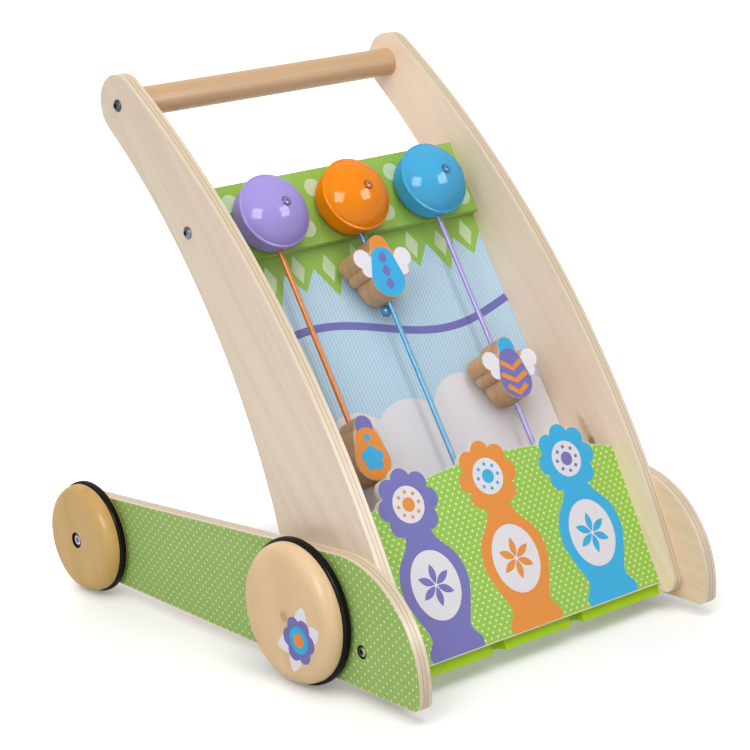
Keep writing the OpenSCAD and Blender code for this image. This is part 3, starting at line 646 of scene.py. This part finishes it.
BOARD_IN = 0.35
BOARD_DOT_PITCH = 21.75
BOARD_DOT_R = 8.4
BOARD_DOT_UP = (16.0, 50.0)
board_sheet = rectangle(SHEET_HALF, BOARD_LOW + BOARD_IN, BOARD_LOW + BOARD_H - BOARD_IN)
printed("board_print", PANEL, [board_sheet], BOARD_OUT, INK["green"], "frame")
board_dots = [oval(BOARD_DOT_PITCH * k, BOARD_LOW + BOARD_DOT_UP[k % 2], BOARD_DOT_R) for k in range(-6, 7)]
printed("board_dots", PANEL, board_dots, BOARD_OUT, INK["leaf"], "frame", 1)

SKY_LOW, SKY_TOP = -343.0, BOARD_LOW - 0.4
sky_sheet = rectangle(INNER_HALF - 0.3, SKY_LOW, SKY_TOP)
printed("sky_print_sheet", PANEL, [sky_sheet], SKY_OUT, SKY, "frame")
PENNANTS = 9
PENNANT_W = 2 * SHEET_HALF / PENNANTS
PENNANT_DROP = (36.0, 46.0)
GARLAND_BAND = 17.0
LOZENGE = (7.0, 13.0)
garland, lozenges = [(SHEET_HALF, SKY_TOP), (-SHEET_HALF, SKY_TOP)], []
for k in range(PENNANTS):
    x = -SHEET_HALF + PENNANT_W * (k + 0.5)
    drop = PENNANT_DROP[k % 2]
    garland += [(x - PENNANT_W / 2, SKY_TOP - GARLAND_BAND), (x, SKY_TOP - drop)]
    lozenges.append(oval(x, SKY_TOP - 0.42 * drop, *LOZENGE, count=4))
garland.append((SHEET_HALF, SKY_TOP - GARLAND_BAND))
printed("sky_garland", PANEL, [garland], SKY_OUT, INK["green"], "frame", 1)
printed("sky_lozenges", PANEL, lozenges, SKY_OUT, INK["leaf"], "frame", 2)
RIBBON_UP, RIBBON_SWING, RIBBON_W = -78.0, 13.0, 7.0
RIBBON_HALF = 140
RIBBON_TURN = math.radians(1.3)
swell = [(x, RIBBON_UP + RIBBON_SWING * math.sin(RIBBON_TURN * (x + RIBBON_HALF)))
         for x in range(-RIBBON_HALF, RIBBON_HALF + 1, 4)]
printed("sky_ribbon", PANEL, [ribbon(swell, RIBBON_W)], SKY_OUT, INK["purple"], "frame", 1)
# Clouds as circles: place across, height and radius
CLOUDS = ((-128, -196, 40), (-70, -178, 36), (-12, -186, 44), (52, -170, 38), (112, -192, 46))
CLOUD_FOOT = -200.0
CLOUD_STEPS = 140
bank = [(-SHEET_HALF, SKY_LOW), (SHEET_HALF, SKY_LOW)]
for j in range(CLOUD_STEPS + 1):
    x = SHEET_HALF * (1 - 2 * j / CLOUD_STEPS)
    heights = [h + math.sqrt(r * r - (x - c) ** 2) for c, h, r in CLOUDS if abs(x - c) < r]
    bank.append((x, max(heights + [CLOUD_FOOT])))
printed("sky_clouds", PANEL, [bank], SKY_OUT, INK["white"], "frame", 1)

CREST_R = (SHEET_HALF ** 2 + CREST_H ** 2) / (2 * CREST_H)
CREST_STEPS = 60
CREST_BACK = 0.3
CREST_FRONT = 0.05


def crest(inset):
    """Arched top edge of the front panel from right to left, above its straight solid."""
    r, middle = CREST_R - inset, GRASS_H + CREST_H - CREST_R
    reach = [SHEET_HALF * (1 - 2 * k / CREST_STEPS) for k in range(CREST_STEPS + 1)]
    return [(x, middle + math.sqrt(r * r - x * x)) for x in reach]


FRONT_FOOT = 0.8
printed("front_crest", FRONT, [crest(0.0)], CREST_BACK - FRONT_T, PANEL_EDGE, "frame",
        thick=FRONT_T - CREST_BACK - CREST_FRONT)
front_sheet = [(-SHEET_HALF, FRONT_FOOT), (SHEET_HALF, FRONT_FOOT), *crest(EDGE_IN)]
printed("front_print_sheet", FRONT, [front_sheet], 0.0, MEADOW, "frame")
# Half widths and heights of a jug from its foot up, and the height of its oval patch
JUG = [(27, FRONT_FOOT), (28, 8), (21, 20), (28, 38), (34, 58), (30, 78), (17, 94), (13, 104), (13, 112)]
PATCH_UP = 59.0
JUG_INKS = (("purple", "orange"), ("orange", "blue"), ("blue", "purple"))
for x, up, (colour, centre) in zip(LANES, BLOOM_UP, JUG_INKS):
    label = "front_%s" % colour
    printed(label + "_jug", FRONT, [vase(x, JUG)], 0.0, INK[colour], "frame", 1)
    head = blossom(x, up, BLOOM_R - EDGE_IN, PETALS, 9.6)
    printed(label + "_petals", FRONT, [head], 0.0, INK[colour], "frame", 2)
    patches = [oval(x, up, 15.5), oval(x, PATCH_UP, 24, 29)]
    printed(label + "_patches", FRONT, patches, 0.0, INK["white"], "frame", 3)
    ring = around(x, up, 10.5, range(0, 360, 45))
    seeds = [oval(x, up, 6)] + [oval(sx, sy, 1.6, count=20) for sx, sy, _ in ring]
    printed(label + "_seeds", FRONT, seeds, 0.0, INK[centre], "frame", 4)
    posy = [leaf(lx, ly, 16.5, 6.5, a) for lx, ly, a in around(x, PATCH_UP, 9.5, range(30, 390, 60))]
    printed(label + "_posy", FRONT, posy, 0.0, INK[colour], "frame", 4)


def bug_face(k, belly, marks, mark_ink, head, wings=None):
    """Print on the front of a slider: wings, plain round head, belly and its marks, in named inks."""
    hand = ("left", "centre", "right")[k]
    name, body = hand + "_bug", hand + "_slider_set"
    place = Matrix.Translation(Vector((LANES[k], -SLIDER_DROP[k], 0)) * MM)
    at = PANEL @ place @ Matrix.Rotation(math.radians(SLIDER_TURN), 4, "Z")
    b = BELLY_R
    if wings:
        lobes = [cluster(s * b, 3, [(s * 0.24 * b, 0.28 * b, 0.49 * b), (s * 0.03 * b, -0.33 * b, 0.37 * b),
                                    (-s * 0.4 * b, 0, 0.4 * b)]) for s in (-1, 1)]
        printed(name + "_wings", at, lobes, SLIDER_OUT, INK[wings], body)
    top = cluster(0, b, [(0, 0.15 * b, 0.49 * b), (0, -0.2 * b, 0.49 * b)])
    printed(name + "_head", at, [top], SLIDER_OUT, INK[head], body, 1)
    shares = [j / 5 for j in range(6)]
    rounds = [(0, (share - 0.4) * b, (0.96 - 0.27 * share) * b) for share in shares]
    trunk = cluster(0, -0.25 * b, rounds)
    printed(name + "_belly", at, [trunk], SLIDER_OUT, INK[belly], body, 2)
    printed(name + "_marks", at, marks, SLIDER_OUT, INK[mark_ink], body, 3)


chain = [leaf(0, y, 11, 8, 90.0) for y in (8, -4, -16)]
bug_face(1, "blue", chain, "purple", "orange", "lilac")
chevrons = [ribbon([(-w, y + 4), (0, y - 3), (w, y + 4)], 4.6) for y, w in ((2, 11), (-9, 13.5), (-20, 10))]
bug_face(2, "purple", chevrons, "orange", "blue", "lilac")
bloom = [blossom(0, -9, 11, 5, 4.8), oval(0, 9, 3)]
bug_face(0, "orange", bloom, "blue", "purple")

FLOWER_AT = (-18.5, -15.5)
LEAF_ANGLES = (-112, -62, 62, 112)
for s, hand in ((-1, "left"), (1, "right")):
    at = side(s, WHEEL_OUT, *FRONT_AXLE)
    fx, fy = s * FLOWER_AT[0], FLOWER_AT[1]
    to_axle = math.degrees(math.atan2(-fy, -fx))
    stems = around(fx, fy, 18.5, [to_axle + d for d in LEAF_ANGLES])
    leaves = [leaf(lx, ly, 24, 15, a) for lx, ly, a in stems]
    label = "%s_wheel_" % hand
    printed(label + "leaves", at, leaves, 0.0, INK["lilac"], "front_wheelset")
    petals = blossom(fx, fy, 20, 6, 8.2, 0.0)
    printed(label + "petals", at, [petals], 0.0, INK["purple"], "front_wheelset", 1)
    printed(label + "ring", at, [oval(fx, fy, 11.5)], 0.0, INK["blue"], "front_wheelset", 2)
    printed(label + "eye", at, [oval(fx, fy, 6.2)], 0.0, INK["orange"], "front_wheelset", 3)

# Camera

PHOTO_PX = 750
FOCAL_PX = 2446.1
SENSOR_MM = 36.0
CAMERA_AT = Vector((-1271.2, -1581.65, 769.5)) * MM
CAMERA_AIM = Vector((-62.83, -82.1, 229.83)) * MM
CAMERA_ROLL = -2.53
camera = bpy.data.objects.new("camera", bpy.data.cameras.new("camera"))
bpy.context.scene.collection.objects.link(camera)
camera.data.sensor_width = SENSOR_MM
camera.data.lens = SENSOR_MM * FOCAL_PX / PHOTO_PX
camera.data.clip_end = 20.0
aimed = (CAMERA_AIM - CAMERA_AT).to_track_quat("-Z", "Y").to_matrix().to_4x4()
rolled = Matrix.Rotation(math.radians(CAMERA_ROLL), 4, "Z")
camera.matrix_world = Matrix.Translation(CAMERA_AT) @ aimed @ rolled
bpy.context.scene.camera = camera

# Stage and light, with lengths in metres

FLOOR_GLOW = 0.19
FLOOR_HALF = 6.0
# Middle of the toy's shadow in millimetres, and the distances between which the floor turns white
SHADOW_AT = (-50.0, -60.0)
SHADOW_ENDS = (0.26, 0.42)


def floor_material():
    """White floor that keeps a soft shadow near the toy.

    A share of its white always shows, also in gloss.
    """
    g = Graph("floor_white", roughness=0.9, specular=0.0)
    g.colour((0.8, 0.8, 0.8, 1.0))
    x, y, _ = g.split(g.coords())
    far = g.step(g.length(x, y, *SHADOW_AT), *SHADOW_ENDS)
    glow = g.math("ADD", FLOOR_GLOW, g.math("MULTIPLY", far, 1.0 - FLOOR_GLOW))
    ray = g.tree.nodes.new("ShaderNodeLightPath").outputs
    seen = g.math("MAXIMUM", ray["Is Camera Ray"], ray["Is Glossy Ray"])
    seen = g.math("MAXIMUM", seen, ray["Is Transmission Ray"])
    g.put(g.shader.inputs["Emission Strength"], g.math("MULTIPLY", glow, seen))
    g.shader.inputs["Emission Color"].default_value = (1, 1, 1, 1)
    return g.material


floor_mesh = bpy.data.meshes.new("floor")
corners = [(x, y, 0) for x, y in rectangle(FLOOR_HALF, -FLOOR_HALF, FLOOR_HALF)]
floor_mesh.from_pydata(corners, [], [(0, 1, 2, 3)])
floor_mesh.materials.append(floor_material())
floor = bpy.data.objects.new("floor", floor_mesh)
bpy.context.scene.collection.objects.link(floor)

LAMP_AIM = Vector((0, 0, 0.2))


def softbox(name, azimuth, height, distance, width, tall, watts, mirrored):
    """Area lamp at an angle round the toy from its front, aimed at the play panel.

    A mirrored lamp only shows in gloss, and the others only light the matt surfaces.
    """
    a, e = math.radians(azimuth), math.radians(height)
    lamp = bpy.data.lights.new(name, "AREA")
    lamp.shape = "RECTANGLE"
    lamp.size, lamp.size_y = width, tall
    lamp.energy = watts
    piece = bpy.data.objects.new(name, lamp)
    bpy.context.scene.collection.objects.link(piece)
    piece.visible_glossy = mirrored
    piece.visible_diffuse = not mirrored
    back = Vector((math.sin(a) * math.cos(e), -math.cos(a) * math.cos(e), math.sin(e)))
    facing = back.to_track_quat("Z", "Y").to_matrix().to_4x4()
    piece.matrix_world = Matrix.Translation(LAMP_AIM + back * distance) @ facing


# Azimuth and height, distance, width and tallness, watts, and whether it shows in gloss alone
LAMPS = {
    "left_softbox": (-62, 28, 1.9, 0.55, 1.1, 6.5, False),
    "high_softbox": (-72, 52, 2.2, 1.6, 1.2, 13.5, False),
    "front_softbox": (-35, 35, 2.2, 1.4, 1.2, 6, False),
    "top_softbox": (-8, 66, 2.2, 0.6, 1.8, 18.5, False),
    "right_softbox": (105, 30, 2.2, 1.4, 1.2, 9, False),
    "back_softbox": (165, 30, 2.2, 1.6, 1.0, 14, False),
    "left_glint": (-62, 28, 1.7, 0.75, 0.75, 28, True),
    "right_glint": (20, 26, 2.0, 0.9, 0.85, 39, True),
}
for name, settings in LAMPS.items():
    softbox(name, *settings)

WORLD_LIGHT = 0.30
world = bpy.data.worlds.new("studio")
bpy.context.scene.world = world
world.use_nodes = True
tree = world.node_tree
sky_light = tree.nodes["Background"]
white = tree.nodes.new("ShaderNodeBackground")
white.inputs["Strength"].default_value = 1.0
white.inputs["Color"].default_value = (1, 1, 1, 1)
sky_light.inputs["Strength"].default_value = WORLD_LIGHT
sky_light.inputs["Color"].default_value = (1, 1, 1, 1)
choose = tree.nodes.new("ShaderNodeMixShader")
rays = tree.nodes.new("ShaderNodeLightPath").outputs
seen = rays["Is Camera Ray"]
for kind in ("Is Glossy Ray", "Is Transmission Ray"):
    either = tree.nodes.new("ShaderNodeMath")
    either.operation = "MAXIMUM"
    tree.links.new(seen, either.inputs[0])
    tree.links.new(rays[kind], either.inputs[1])
    seen = either.outputs[0]
tree.links.new(seen, choose.inputs[0])
tree.links.new(sky_light.outputs[0], choose.inputs[1])
tree.links.new(white.outputs[0], choose.inputs[2])
tree.links.new(choose.outputs[0], tree.nodes["World Output"].inputs["Surface"])
bpy.context.scene.view_settings.view_transform = "Standard"
